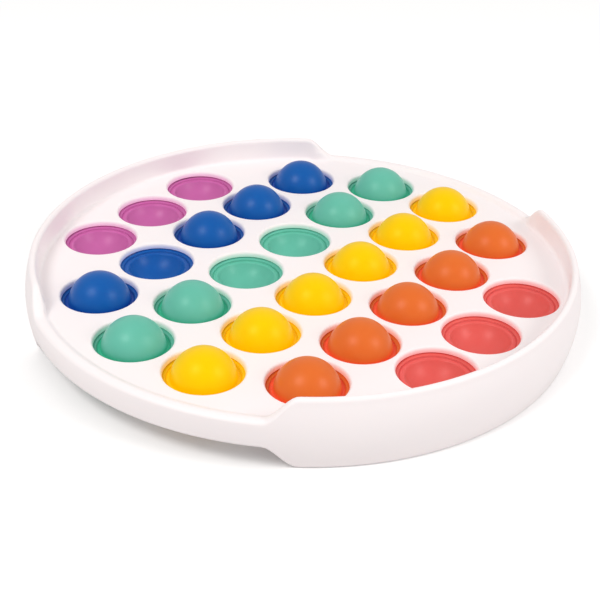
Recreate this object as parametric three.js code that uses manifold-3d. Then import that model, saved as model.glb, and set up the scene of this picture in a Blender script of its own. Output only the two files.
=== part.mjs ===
// Push-bubble game board: a round white tray whose deck has 28 round windows in six rows, and a
// rainbow silicone sheet clamped behind it. Each window shows one snap-through bubble, which is
// pushed down from one face and, with the board turned over, pushed back from the other.
//
// Millimetres, +Z up. The origin is on the table under the board's centre. The rows of bubbles run
// along Y, and the colours follow each other along +X, from purple to red.

import * as THREE from "three";
import { ParametricGeometry } from "three/addons/geometries/ParametricGeometry.js";
import { mergeVertices } from "three/addons/utils/BufferGeometryUtils.js";
import Module from "manifold-3d";

const wasm = await Module();
wasm.setup();

// ---------------------------------------------------------------- driving dimensions
const PITCH = 30; // from bubble to bubble along a row
const RIM_R = 100; // outside of the rim
const RIM_INNER_R = 95.3; // inside of the rim wall
const RIM_BARREL = 0.0149; // the rim's outside bulges: how much it draws in per square millimetre of height
const CREST_DROP = 1.5; // height over which the rim's edges are rounded
const LOBE_HALF_HEIGHT = 12.75; // rim above and below the middle plane, at the two grip lobes
const LOW_HALF_HEIGHT = 5; // the same, between the lobes
const LOBE_HALF_ANGLE = 55; // degrees from the X axis to where a lobe starts to fall
const LOBE_RAMP = 6.5; // degrees over which it falls
const DECK_HALF_GAP = 2; // middle plane to the inner face of either deck
const DECK_T = 1.7; // thickness of either deck
const WINDOW_R = 13.5; // round windows in both decks
const SHEET_HALF_T = 1.7; // silicone between the bubbles, either side of the middle plane
const SHEET_R = 94.5;
const BACK_PLATE_R = 94.8;
const COLLAR_R = 12; // where the sheet steps down to a bubble's root
const BUBBLE_R = 11; // convex side of a bubble at its root
const RAISED_H = 11.3; // convex side of a raised bubble at its top, from the middle plane
const PUSHED_H = 6.7; // the same for a pushed bubble, which hangs less deep
const PUSHED_BALL_R = 12.7; // convex side of a pushed bubble is part of a ball of this radius
const SKIN_T = 1.1; // silicone wall of a bubble
const ROOT_HALF_T = 0.8; // silicone that ties a bubble to the sheet, either side of the middle plane
const CROWN_R = 6.6; // the middle of a bubble, which moves as one
const CROWN_EDGE_T = 0.6; // thickness of a crown at its edge
const FIT_GAP = 0.3; // between pieces that touch

// ---------------------------------------------------------------- worked out from them
const MID_Z = LOBE_HALF_HEIGHT; // the lobes stand on the table
const ROOT_R = COLLAR_R + FIT_GAP; // how far a bubble's root reaches into the sheet
const BOSS_R = 3.8;
const PEG_R = 2.2;
const BOSS_HOLE_R = BOSS_R + FIT_GAP;

const ROUND_SIDES = 12; // around a window, a bubble and a crown
const PEG_SIDES = 8;
const DISC_SIDES = 48; // around the decks and the sheet

// Rows from -X to +X. Bubble 1 of a row is at its +Y end. "down" lists the bubbles that are pushed in.
const END_ROW_X = 2.455 * PITCH;
const SECOND_ROW_X = 1.493 * PITCH;
const MIDDLE_ROW_X = PITCH / 2;
const ROWS = [
  { name: "purple", colour: 0xc466a3, x: -END_ROW_X, count: 3, step: 0.97 * PITCH, down: [1, 2, 3] },
  { name: "blue", colour: 0x1f60b0, x: -SECOND_ROW_X, count: 5, step: PITCH, down: [4] },
  { name: "teal", colour: 0x5cbca0, x: -MIDDLE_ROW_X, count: 6, step: PITCH, down: [3, 4] },
  { name: "yellow", colour: 0xfccf10, x: MIDDLE_ROW_X, count: 6, step: PITCH, down: [] },
  { name: "orange", colour: 0xee7437, x: SECOND_ROW_X, count: 5, step: PITCH, down: [] },
  { name: "red", colour: 0xe95f5c, x: END_ROW_X, count: 3, step: 0.97 * PITCH, down: [1, 2, 3] },
];
for (const row of ROWS) {
  row.bubbles = Array.from({ length: row.count }, (_, i) => ({
    x: row.x,
    y: ((row.count - 1) / 2 - i) * row.step,
    side: row.down.includes(i + 1) ? -1 : 1,
  }));
}
const ALL_BUBBLES = ROWS.flatMap((row) => row.bubbles);

// The colours meet midway between two rows, behind the deck.
const END_SEAM_X = (END_ROW_X + SECOND_ROW_X) / 2;
const SECOND_SEAM_X = (SECOND_ROW_X + MIDDLE_ROW_X) / 2;
const SEAMS = [-RIM_R, -END_SEAM_X, -SECOND_SEAM_X, 0, SECOND_SEAM_X, END_SEAM_X, RIM_R];

// Pegs hold the two decks together through the sheet, where four windows leave room.
const PEGS = [
  [0, 0],
  [0, 2 * PITCH],
  [0, -2 * PITCH],
  ...[-1, 1].flatMap((sx) =>
    [-1.5, -0.5, 0.5, 1.5].map((row) => [sx * END_SEAM_X, row * PITCH]),
  ),
];

// ---------------------------------------------------------------- solids and meshes
function solidOf(geometry) {
  const bare = geometry.clone();
  bare.deleteAttribute("normal");
  bare.deleteAttribute("uv");
  const merged = mergeVertices(bare, 1e-3);
  return new wasm.Manifold(
    new wasm.Mesh({
      numProp: 3,
      vertProperties: merged.attributes.position.array,
      triVerts: new Uint32Array(merged.index.array),
    }),
  );
}

function geometryOf(solid) {
  const mesh = solid.getMesh();
  const geometry = new THREE.BufferGeometry();
  geometry.setAttribute("position", new THREE.BufferAttribute(new Float32Array(mesh.vertProperties), 3));
  geometry.setIndex(new THREE.BufferAttribute(new Uint32Array(mesh.triVerts), 1));
  geometry.computeVertexNormals();
  return geometry;
}

function union(solids) {
  return solids.reduce((sum, solid) => sum.add(solid));
}

function circle(radius, sides) {
  return Array.from({ length: sides }, (_, i) => {
    const a = (2 * Math.PI * i) / sides;
    return new THREE.Vector2(radius * Math.cos(a), radius * Math.sin(a));
  });
}

// A flat plate from z0 to z1, measured from the middle plane, with round holes of one radius.
function plate(outline, holes, holeR, z0, z1) {
  const shape = new THREE.Shape(outline);
  for (const hole of holes) {
    const path = new THREE.Path();
    path.absarc(hole.x, hole.y, holeR, 0, 2 * Math.PI, true);
    shape.holes.push(path);
  }
  const geometry = new THREE.ExtrudeGeometry(shape, {
    depth: z1 - z0,
    bevelEnabled: false,
    curveSegments: ROUND_SIDES / 2,
  });
  return solidOf(geometry.translate(0, 0, z0 + MID_Z));
}

// A solid of revolution about a vertical line at x, y. The profile's points are [radius, height]
// above the middle plane, and a side of -1 turns it upside down.
function turned(profile, sides, { x, y, side = 1 }) {
  const points = profile.map(([r, z]) => new THREE.Vector2(r, side * z));
  if (side < 0) points.reverse();
  const geometry = new THREE.LatheGeometry(points, sides);
  return geometry.rotateX(Math.PI / 2).translate(x, y, MID_Z);
}

function post(x, y, radius, z0, z1) {
  const geometry = new THREE.CylinderGeometry(radius, radius, z1 - z0, PEG_SIDES);
  return solidOf(geometry.rotateX(Math.PI / 2).translate(x, y, (z0 + z1) / 2 + MID_Z));
}

// ---------------------------------------------------------------- the frame
// Half the rim's height at an angle round the board, which is full on the lobes at +X and -X.
function rimHalfHeight(angle) {
  const fromX = THREE.MathUtils.radToDeg(Math.acos(Math.abs(Math.cos(angle))));
  const fallen = THREE.MathUtils.smoothstep(fromX, LOBE_HALF_ANGLE, LOBE_HALF_ANGLE + LOBE_RAMP);
  return THREE.MathUtils.lerp(LOBE_HALF_HEIGHT, LOW_HALF_HEIGHT, fallen);
}

// Angles round the rim, in degrees, close together where the lobes fall.
function rimStations() {
  const steps = [
    [-LOBE_HALF_ANGLE, LOBE_HALF_ANGLE, 16],
    [LOBE_HALF_ANGLE, LOBE_HALF_ANGLE + LOBE_RAMP, 5],
    [LOBE_HALF_ANGLE + LOBE_RAMP, 180 - LOBE_HALF_ANGLE - LOBE_RAMP, 8],
    [180 - LOBE_HALF_ANGLE - LOBE_RAMP, 180 - LOBE_HALF_ANGLE, 5],
  ];
  const half = steps.flatMap(([from, to, n]) =>
    Array.from({ length: n }, (_, i) => from + ((to - from) * i) / n),
  );
  return [...half, ...half.map((a) => a + 180), 360 - LOBE_HALF_ANGLE];
}

// The rim's section: a barrel-shaped wall with rounded edges, which keep a narrow flat to stand on.
function rimSection(halfHeight) {
  const outerR = (z) => RIM_R - RIM_BARREL * z * z;
  const shoulder = halfHeight - CREST_DROP;
  const halfWall = (outerR(shoulder) - RIM_INNER_R) / 2;
  const crest = [180, 146, 112.5, 67.5, 34, 0].map((degrees) => {
    const a = THREE.MathUtils.degToRad(degrees);
    const onFlat = degrees > 60 && degrees < 120;
    const rise = onFlat ? CREST_DROP : CREST_DROP * Math.sin(a);
    return [RIM_INNER_R + halfWall + halfWall * Math.cos(a), shoulder + rise];
  });
  const under = crest.map(([r, z]) => [r, -z]).reverse();
  return [...crest, [RIM_R, 0], ...under, crest[0]];
}

function rim() {
  const stations = rimStations();
  const slices = rimSection(LOW_HALF_HEIGHT).length - 1;
  const stacks = stations.length - 1;
  const surface = (u, v, target) => {
    const angle = THREE.MathUtils.degToRad(stations[Math.round(v * stacks)]);
    const [r, z] = rimSection(rimHalfHeight(angle))[Math.round(u * slices)];
    target.set(r * Math.cos(angle), r * Math.sin(angle), z + MID_Z);
  };
  return solidOf(new ParametricGeometry(surface, slices, stacks));
}

function frame() {
  const deckR = (RIM_INNER_R + RIM_R) / 2;
  const deckTop = DECK_HALF_GAP + DECK_T;
  const deck = plate(circle(deckR, DISC_SIDES), ALL_BUBBLES, WINDOW_R, DECK_HALF_GAP, deckTop);
  const pegs = PEGS.map(([x, y]) => post(x, y, PEG_R, FIT_GAP - DECK_HALF_GAP, DECK_HALF_GAP + DECK_T / 2));
  return union([rim(), deck, ...pegs]);
}

// ---------------------------------------------------------------- the back plate
function backPlate() {
  const outline = circle(BACK_PLATE_R, DISC_SIDES);
  const disc = plate(outline, ALL_BUBBLES, WINDOW_R, -DECK_HALF_GAP - DECK_T, -DECK_HALF_GAP);
  const inner = PEG_R + FIT_GAP;
  const bottom = -DECK_HALF_GAP - DECK_T / 2;
  const top = DECK_HALF_GAP / 2;
  const boss = [
    [inner, top],
    [inner, bottom],
    [BOSS_R, bottom],
    [BOSS_R, top],
    [inner, top],
  ];
  const bosses = PEGS.map(([x, y]) => solidOf(turned(boss, PEG_SIDES, { x, y })));
  // The boss's bore stops at the plate, so the disc goes on whole below it.
  return union([disc, ...bosses]);
}

// ---------------------------------------------------------------- the silicone sheet
// The two shapes of a bubble: how far its convex and its concave side are from the middle plane at
// a radius, and the radius of its mouth. A raised bubble is half an ellipsoid, and a pushed one is a
// shallower part of a ball.
const RAISED = {
  convexZ: (r) => RAISED_H * Math.sqrt(1 - (r / BUBBLE_R) ** 2),
  concaveZ: (r) => (RAISED_H - SKIN_T) * Math.sqrt(1 - (r / (BUBBLE_R - SKIN_T)) ** 2),
  mouthR: BUBBLE_R - SKIN_T,
};
const BALL_Z = PUSHED_BALL_R - PUSHED_H; // the ball's centre, on the far side of the middle plane
const PUSHED = {
  convexZ: (r) => Math.sqrt(PUSHED_BALL_R ** 2 - r ** 2) - BALL_Z,
  concaveZ: (r) => Math.sqrt((PUSHED_BALL_R - SKIN_T) ** 2 - r ** 2) - BALL_Z,
  mouthR: Math.sqrt((PUSHED_BALL_R - SKIN_T) ** 2 - (BALL_Z - ROOT_HALF_T) ** 2),
};
const shapeOf = (bubble) => (bubble.side > 0 ? RAISED : PUSHED);

// The wall of a bubble from the sheet up to its crown. It is the part that rolls over.
function bubbleWall(bubble) {
  const { convexZ, concaveZ, mouthR } = shapeOf(bubble);
  const edge = CROWN_R + FIT_GAP;
  const bend = BUBBLE_R * 0.87;
  const innerBend = bend - SKIN_T;
  const profile = [
    [edge, convexZ(edge)],
    [edge, concaveZ(edge)],
    [innerBend, concaveZ(innerBend)],
    [mouthR, -ROOT_HALF_T],
    [ROOT_R, -ROOT_HALF_T],
    [ROOT_R, ROOT_HALF_T],
    [BUBBLE_R, ROOT_HALF_T],
    [bend, convexZ(bend)],
    [edge, convexZ(edge)],
  ];
  return solidOf(turned(profile, ROUND_SIDES, bubble));
}

// One colour of the sheet: the part of a disc between two seams.
function strip(row, index) {
  const from = SEAMS[index] + FIT_GAP / 2;
  const to = SEAMS[index + 1] - FIT_GAP / 2;
  const disc = circle(SHEET_R, DISC_SIDES);
  const shape = disc.filter((p) => p.x > from && p.x < to);
  const cuts = [from, to].filter((x) => Math.abs(x) < SHEET_R);
  for (const x of cuts) {
    const y = Math.sqrt((SHEET_R * Math.cos(Math.PI / DISC_SIDES)) ** 2 - x * x);
    shape.push(new THREE.Vector2(x, y), new THREE.Vector2(x, -y));
  }
  const middle = new THREE.Vector2(row.x, 0);
  shape.sort((a, b) => a.clone().sub(middle).angle() - b.clone().sub(middle).angle());
  const slab = plate(shape, row.bubbles, COLLAR_R, -SHEET_HALF_T, SHEET_HALF_T);
  const clearances = PEGS.map(([x, y]) => post(x, y, BOSS_HOLE_R, -2 * SHEET_HALF_T, 2 * SHEET_HALF_T));
  return union([slab.subtract(union(clearances)), ...row.bubbles.map(bubbleWall)]);
}

// ---------------------------------------------------------------- the moving crowns
function crown(bubble) {
  const { convexZ, concaveZ } = shapeOf(bubble);
  const profile = [
    [0, concaveZ(0)],
    [CROWN_R, convexZ(CROWN_R) - CROWN_EDGE_T],
    [CROWN_R, convexZ(CROWN_R)],
    [CROWN_R / 2, convexZ(CROWN_R / 2)],
    [0, convexZ(0)],
  ];
  return turned(profile, ROUND_SIDES, bubble);
}

// ---------------------------------------------------------------- the assembly
const WHITE_PLASTIC = new THREE.MeshStandardMaterial({ color: 0xf7f1ef, roughness: 0.35, metalness: 0 });

function named(name, geometry, material) {
  const mesh = new THREE.Mesh(geometry, material);
  mesh.name = name;
  return mesh;
}

const board = new THREE.Group();
board.add(named("frame", geometryOf(frame()), WHITE_PLASTIC));
board.add(named("back_plate", geometryOf(backPlate()), WHITE_PLASTIC));
ROWS.forEach((row, index) => {
  const silicone = new THREE.MeshStandardMaterial({ color: row.colour, roughness: 0.5, metalness: 0 });
  board.add(named(`${row.name}_strip`, geometryOf(strip(row, index)), silicone));
  row.bubbles.forEach((bubble, i) => {
    board.add(named(`${row.name}_bubble_${i + 1}`, crown(bubble), silicone));
  });
});

export default board;
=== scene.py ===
"""Visual model of a round push-bubble game board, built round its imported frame.

The board is a white tray with a deck of 28 round windows, a back plate with the same windows, and a
rainbow silicone sheet between them. The sheet is six strips, and each strip carries a row of bubbles
that snap through from one face of the board to the other.

Sizes are in millimetres and heights are measured from the board's middle plane, until a mesh is
made: then they become metres in the frame's own axes. Rows of bubbles run along Y, and the colours
follow each other along X.
"""

import logging
import math
from collections.abc import Callable
from dataclasses import dataclass, field
from enum import Enum

import bmesh
import bpy
import numpy as np
from mathutils import Matrix, Vector
from mathutils.geometry import delaunay_2d_cdt


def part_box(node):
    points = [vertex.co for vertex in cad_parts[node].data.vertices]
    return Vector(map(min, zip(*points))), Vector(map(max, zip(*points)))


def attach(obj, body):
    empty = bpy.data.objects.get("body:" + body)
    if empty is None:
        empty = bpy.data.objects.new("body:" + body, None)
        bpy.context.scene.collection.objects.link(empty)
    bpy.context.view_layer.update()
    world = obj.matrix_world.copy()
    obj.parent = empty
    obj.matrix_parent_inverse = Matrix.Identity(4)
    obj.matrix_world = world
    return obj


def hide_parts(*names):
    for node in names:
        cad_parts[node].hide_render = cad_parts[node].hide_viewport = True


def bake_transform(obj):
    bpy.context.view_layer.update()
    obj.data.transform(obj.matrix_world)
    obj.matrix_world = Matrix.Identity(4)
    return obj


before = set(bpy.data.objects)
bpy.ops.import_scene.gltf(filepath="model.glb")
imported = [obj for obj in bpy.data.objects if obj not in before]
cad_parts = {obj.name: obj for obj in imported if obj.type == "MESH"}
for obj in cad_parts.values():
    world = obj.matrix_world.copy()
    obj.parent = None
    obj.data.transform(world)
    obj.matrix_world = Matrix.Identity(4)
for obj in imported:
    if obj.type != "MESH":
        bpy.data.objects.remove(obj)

LOG = logging.getLogger("push_bubble_board")

MM = 0.001
WELD = 0.002 * MM
BOARD_BODY = "board"
# The hollow mask sets where painted shade and painted emission light go in the silicone's grooves.
HOLLOW = "hollow"  # the mesh attribute that says how shut in a point is
# Painted bounce light: colour from the bubbles that is painted on to the white walls of the windows.
PAINTED_BOUNCE = "painted_bounce"  # the mesh attribute for colour that a bubble throws on to the wall round it
BLACK = (0.0, 0.0, 0.0, 1.0)
GRAIN_DEPTH = 0.1 * MM  # height of the finest relief

Block = tuple[np.ndarray, np.ndarray]
Colour = tuple[float, float, float]
Tone = tuple[int, int, int]


# --------------------------------------------------------------------------------------------------
# Named options
# --------------------------------------------------------------------------------------------------


class RowColour(Enum):
    """The six rows of bubbles, in the order that they follow each other along X."""

    PURPLE = "purple"
    BLUE = "blue"
    TEAL = "teal"
    YELLOW = "yellow"
    ORANGE = "orange"
    RED = "red"


class Rest(Enum):
    """Which way a bubble is turned at rest, as the sign of its crown's height."""

    RAISED = 1
    PUSHED = -1


# --------------------------------------------------------------------------------------------------
# Sizes
# --------------------------------------------------------------------------------------------------


@dataclass(frozen=True)
class BoardSizes:
    """The board's driving sizes, in millimetres.

    Attributes:
        middle: Height of the middle plane above the table.
        rim_radius: Outside of the rim at the middle plane.
        lobe_height: Half the rim's height at the two grip lobes.
        low_height: Half the rim's height between the lobes.
        rim_inner: Inside of the rim wall.
        barrel: How much the rim's outside draws in per square millimetre of height.
        edge_round: Height over which the rim's edges are rounded.
        lobe_angle: Degrees from the X axis to where a lobe starts to fall.
        lobe_ramp: Degrees over which it falls.
        deck_inner: Inner face of either deck.
        deck_outer: Outer face of either deck.
        back_radius: Outside of the back plate.
        window: Radius of the round windows where they are narrowest.
    """

    middle: float
    rim_radius: float
    lobe_height: float
    back_radius: float
    low_height: float = 5.0
    rim_inner: float = 95.3
    barrel: float = 0.0149
    edge_round: float = 1.5
    lobe_angle: float = 55.0
    lobe_ramp: float = 6.5
    deck_inner: float = 1.6
    deck_outer: float = 3.7
    window: float = 13.33

    @classmethod
    def from_frame(cls) -> "BoardSizes":
        """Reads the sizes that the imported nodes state.

        Returns:
            The board's sizes.
        """
        low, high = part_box("frame")
        back_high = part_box("back_plate")[1]
        middle = (low.z + high.z) / 2 / MM
        return cls(
            middle=middle,
            rim_radius=high.x / MM,
            lobe_height=high.z / MM - middle,
            back_radius=back_high.x / MM,
        )


@dataclass(frozen=True)
class Place:
    """Where one bubble stands.

    Attributes:
        row: The bubble's colour.
        number: Its number in the row, from 1 at the +Y end.
        x: Place along X, in millimetres.
        y: Place along Y, in millimetres.
        rest: Which way it is turned at rest.
    """

    row: RowColour
    number: int
    x: float
    y: float
    rest: Rest

    @property
    def node(self) -> str:
        """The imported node, and the body of the same name, that this bubble's crown is."""
        return f"{self.row.value}_bubble_{self.number}"

    @property
    def centre(self) -> np.ndarray:
        """The bubble's place in the board's plane."""
        return np.array([self.x, self.y])


def read_places(sizes: BoardSizes) -> list[Place]:
    """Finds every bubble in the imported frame.

    Args:
        sizes: The board's sizes, for its middle plane.

    Returns:
        The bubbles, row by row.
    """
    places = []
    for row in RowColour:
        number = 1
        while f"{row.value}_bubble_{number}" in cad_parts:
            low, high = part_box(f"{row.value}_bubble_{number}")
            middle = (low + high) / 2 / MM
            rest = Rest.RAISED if middle.z > sizes.middle else Rest.PUSHED
            places.append(Place(row, number, middle.x, middle.y, rest))
            number += 1
    return places


# --------------------------------------------------------------------------------------------------
# Surfaces
# --------------------------------------------------------------------------------------------------


def smoothstep(t: np.ndarray) -> np.ndarray:
    """Eases from 0 to 1: three times t squared less twice t cubed, with t held between 0 and 1.

    Args:
        t: Shares of the way.

    Returns:
        The eased shares.
    """
    held = np.clip(t, 0.0, 1.0)
    return held * held * (3.0 - 2.0 * held)


def arc(centre: tuple[float, float], radii: tuple[float, float], turn: tuple[float, float],
        steps: int) -> np.ndarray:
    """Points on an elliptical arc: centre plus each half axis times the cosine and sine of the angle.

    Args:
        centre: Middle of the ellipse, as radius and height.
        radii: Half axes along radius and height.
        turn: First and last angle in degrees, from the outward direction towards up.
        steps: Number of equal steps.

    Returns:
        steps + 1 points of radius and height.
    """
    angles = np.radians(np.linspace(turn[0], turn[1], steps + 1))
    return np.stack(
        [centre[0] + radii[0] * np.cos(angles), centre[1] + radii[1] * np.sin(angles)], axis=1
    )


def chain(*parts: np.ndarray) -> np.ndarray:
    """Joins stretches of a profile and drops a point that repeats the one before it.

    Args:
        *parts: Stretches of radius and height points, in order.

    Returns:
        One profile.
    """
    points = np.concatenate([np.atleast_2d(np.asarray(part, float)) for part in parts])
    moved = np.linalg.norm(np.diff(points, axis=0), axis=1) > 1e-6
    return points[np.concatenate([[True], moved])]


def ring(centre: np.ndarray, radius: float, sides: int) -> np.ndarray:
    """Points of a circle in the board's plane: the centre plus the radius times the cosine and sine
    of the angle.

    Args:
        centre: Middle of the circle.
        radius: Its radius.
        sides: Number of points.

    Returns:
        sides points of x and y.
    """
    angles = np.linspace(0.0, 2.0 * np.pi, sides, endpoint=False)
    return centre + radius * np.stack([np.cos(angles), np.sin(angles)], axis=1)


def turned(profile: np.ndarray, centre: np.ndarray, sides: int) -> np.ndarray:
    """A profile carried round a vertical line: x and y are the centre plus the radius times the
    cosine and sine of the angle, and z is the profile's height.

    Args:
        profile: Radius and height points.
        centre: Place of the vertical line in the board's plane.
        sides: Number of steps round.

    Returns:
        A grid of points, one row for each profile point, whose columns go once round.
    """
    angles = np.linspace(0.0, 2.0 * np.pi, sides, endpoint=False)
    around = np.stack([np.cos(angles), np.sin(angles)], axis=1)
    grid = np.empty((len(profile), sides, 3))
    grid[..., :2] = centre + profile[:, None, :1] * around[None]
    grid[..., 2] = profile[:, None, 1]
    return grid


def gridded(grid: np.ndarray) -> Block:
    """Four-cornered faces over a grid whose columns close on themselves.

    Args:
        grid: Rows by columns of points.

    Returns:
        The points in one list, and the faces as indices into it.
    """
    rows, columns = grid.shape[:2]
    index = np.arange(rows * columns).reshape(rows, columns)
    index = np.concatenate([index, index[:, :1]], axis=1)
    corners = [index[:-1, :-1], index[:-1, 1:], index[1:, 1:], index[1:, :-1]]
    return grid.reshape(-1, 3), np.stack(corners, axis=-1).reshape(-1, 4)


def flat_face(outline: np.ndarray, holes: list[np.ndarray], height: float) -> Block:
    """A flat face inside an outline, less its holes, as triangles between the given points only.

    Args:
        outline: Points round the outside.
        holes: Points round each hole, which is a circle.
        height: Height of the face.

    Returns:
        The points and the triangles.
    """
    loops = [outline, *holes]
    points = np.concatenate(loops)
    starts = np.cumsum([0] + [len(loop) for loop in loops])
    edges = np.concatenate(
        [
            np.stack([np.arange(n), np.roll(np.arange(n), -1)], axis=1) + start
            for n, start in zip([len(loop) for loop in loops], starts)
        ]
    )
    made = delaunay_2d_cdt([Vector(p) for p in points.tolist()], edges.tolist(), [], 1, 1e-6)
    flat = np.array([tuple(v) for v in made[0]])
    triangles = np.array([tuple(f) for f in made[2]])
    middles = flat[triangles].mean(axis=1)
    for hole in holes:
        centre = hole.mean(axis=0)
        radius = np.linalg.norm(hole[0] - centre)
        outside = np.linalg.norm(middles - centre, axis=1) > radius
        triangles, middles = triangles[outside], middles[outside]
    solid = np.concatenate([flat, np.full((len(flat), 1), height)], axis=1)
    return solid, triangles


def make_piece(name: str, blocks: list[Block], middle: float) -> bpy.types.Object:
    """Welds surfaces into one smooth mesh with its faces pointing outwards.

    Args:
        name: Name of the piece.
        blocks: Surfaces in millimetres, with heights from the middle plane.
        middle: Height of the middle plane above the table.

    Returns:
        The object, at the origin, with its place in its mesh.
    """
    starts = np.cumsum([0] + [len(points) for points, _ in blocks])
    points = np.concatenate([points for points, _ in blocks])
    faces = [face for (_, f), start in zip(blocks, starts) for face in (f + start).tolist()]
    mesh = bpy.data.meshes.new(name)
    mesh.from_pydata(((points + [0.0, 0.0, middle]) * MM).tolist(), [], faces)
    work = bmesh.new()
    work.from_mesh(mesh)
    bmesh.ops.remove_doubles(work, verts=work.verts, dist=WELD)
    bmesh.ops.recalc_face_normals(work, faces=work.faces)
    work.to_mesh(mesh)
    work.free()
    mesh.polygons.foreach_set("use_smooth", np.ones(len(mesh.polygons), bool))
    mesh.update()
    piece = bpy.data.objects.new(name, mesh)
    bpy.context.scene.collection.objects.link(piece)
    return piece


# --------------------------------------------------------------------------------------------------
# Shader groups
# --------------------------------------------------------------------------------------------------


class NodeSheet:
    """A node tree that is being filled, with short ways to add and join its nodes."""

    def __init__(self, tree: bpy.types.NodeTree) -> None:
        """Starts on an emptied tree."""
        self.tree = tree
        self.tree.nodes.clear()

    def add(self, kind: str, inputs: dict | None = None, **settings: object) -> bpy.types.Node:
        """Adds a node.

        Args:
            kind: Blender's name for the node's type.
            inputs: Values or sockets for its inputs, by name or number.
            **settings: The node's own properties.

        Returns:
            The new node.
        """
        node = self.tree.nodes.new(kind)
        for name, value in settings.items():
            setattr(node, name, value)
        for name, value in (inputs or {}).items():
            socket = node.inputs[name]
            if isinstance(value, bpy.types.NodeSocket):
                self.tree.links.new(value, socket)
            else:
                socket.default_value = value
        return node

    def maths(self, operation: str, first: object, second: object = 0.0) -> bpy.types.NodeSocket:
        """Adds a sum of two values or sockets, such as MULTIPLY, and gives its result's socket."""
        node = self.add("ShaderNodeMath", {0: first, 1: second}, operation=operation)
        return node.outputs[0]

    def mix(self, share: object, first: object, second: object) -> bpy.types.NodeSocket:
        """Adds a mix of two colours or sockets by the second one's share, and gives its result's socket."""
        node = self.add("ShaderNodeMix", {0: share, 6: first, 7: second}, data_type="RGBA")
        return node.outputs[2]

    def shade(self, inputs: dict) -> None:
        """Adds a material's shader with the given inputs, and joins it to the material's output."""
        shader = self.add("ShaderNodeBsdfPrincipled", inputs)
        self.add("ShaderNodeOutputMaterial", {"Surface": shader.outputs[0]})


class GroupMaker:
    """Makes each shared shader group once, with named inputs and outputs."""

    @staticmethod
    def _start(name: str, inputs: dict[str, tuple[str, object]], outputs: dict[str, str]
               ) -> tuple[NodeSheet, bpy.types.Node, bpy.types.Node]:
        """Makes an empty group with its sockets.

        Args:
            name: The group's name.
            inputs: Socket type and default value of each input.
            outputs: Socket type of each output.

        Returns:
            The group's sheet, its input node and its output node.
        """
        tree = bpy.data.node_groups.new(name, "ShaderNodeTree")
        for label, (kind, default) in inputs.items():
            socket = tree.interface.new_socket(label, in_out="INPUT", socket_type=kind)
            if default is not None:
                socket.default_value = default
        for label, kind in outputs.items():
            tree.interface.new_socket(label, in_out="OUTPUT", socket_type=kind)
        sheet = NodeSheet(tree)
        return sheet, sheet.add("NodeGroupInput"), sheet.add("NodeGroupOutput")

    def mould_grain(self) -> bpy.types.NodeTree:
        """The fine pebbled skin that a sparked mould leaves, over a slow waviness, and how it
        changes the gloss from place to place.

        Returns:
            The group, with Height and Roughness outputs.
        """
        number = "NodeSocketFloat"
        sheet, start, end = self._start(
            "mould_grain",
            {
                "Vector": ("NodeSocketVector", None),
                "Grain Scale": (number, 4000.0),
                "Wave Scale": (number, 60.0),
                "Wave Share": (number, 0.3),
                "Roughness": (number, 0.4),
                "Roughness Spread": (number, 0.06),
            },
            {"Height": number, "Roughness": number},
        )
        place = start.outputs["Vector"]
        grain = sheet.add(
            "ShaderNodeTexNoise", {"Vector": place, "Scale": start.outputs["Grain Scale"], "Detail": 2.0}
        ).outputs[0]
        wave = sheet.add(
            "ShaderNodeTexNoise", {"Vector": place, "Scale": start.outputs["Wave Scale"], "Detail": 1.0}
        ).outputs[0]
        raised = sheet.maths("MULTIPLY", wave, start.outputs["Wave Share"])
        sheet.tree.links.new(sheet.maths("ADD", grain, raised), end.inputs["Height"])
        centred = sheet.maths("SUBTRACT", wave, 0.5)
        swing = sheet.maths("MULTIPLY", centred, start.outputs["Roughness Spread"])
        rough = sheet.maths("ADD", start.outputs["Roughness"], swing)
        sheet.tree.links.new(rough, end.inputs["Roughness"])
        return sheet.tree

    def tone_drift(self) -> bpy.types.NodeTree:
        """Cloudy drift of a moulded colour towards a second tone.

        Returns:
            The group, with a Colour output.
        """
        sheet, start, end = self._start(
            "tone_drift",
            {
                "Vector": ("NodeSocketVector", None),
                "Tone": ("NodeSocketColor", None),
                "Second Tone": ("NodeSocketColor", None),
                "Scale": ("NodeSocketFloat", 40.0),
                "Amount": ("NodeSocketFloat", 0.3),
            },
            {"Colour": "NodeSocketColor"},
        )
        cloud = sheet.add(
            "ShaderNodeTexNoise",
            {"Vector": start.outputs["Vector"], "Scale": start.outputs["Scale"], "Detail": 3.0},
        ).outputs[0]
        share = sheet.maths("MULTIPLY", cloud, start.outputs["Amount"])
        mixed = sheet.mix(share, start.outputs["Tone"], start.outputs["Second Tone"])
        sheet.tree.links.new(mixed, end.inputs["Colour"])
        return sheet.tree

    def hollow_painted_shade_and_light(self) -> bpy.types.NodeTree:
        """Paints shade into a colour where the mesh says that the surface is shut in, such as in a groove,
        and gives painted light as emission there, in place of the light that comes through the silicone.

        Returns:
            The group, with Colour and Glow outputs.
        """
        sheet, start, end = self._start(
            "hollow_painted_shade_and_light",
            {
                "Colour": ("NodeSocketColor", None),
                "Painted Shade Colour": ("NodeSocketColor", None),
                "Amount": ("NodeSocketFloat", 0.8),
            },
            {"Colour": "NodeSocketColor", "Painted Glow": "NodeSocketColor"},
        )
        hollow = sheet.add("ShaderNodeAttribute", attribute_name=HOLLOW)
        # Painted shade: the colour turns towards the shade colour where the surface is shut in.
        share = sheet.maths("MULTIPLY", hollow.outputs["Fac"], start.outputs["Amount"])
        mixed = sheet.mix(share, start.outputs["Colour"], start.outputs["Painted Shade Colour"])
        sheet.tree.links.new(mixed, end.inputs["Colour"])
        # Painted light: emission in the shade colour where the surface is shut in, standing in for light
        # coming through the silicone.
        painted_glow = sheet.mix(hollow.outputs["Fac"], BLACK, start.outputs["Painted Shade Colour"])
        sheet.tree.links.new(painted_glow, end.inputs["Painted Glow"])
        return sheet.tree


# --------------------------------------------------------------------------------------------------
# Finishes
# --------------------------------------------------------------------------------------------------


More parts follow.
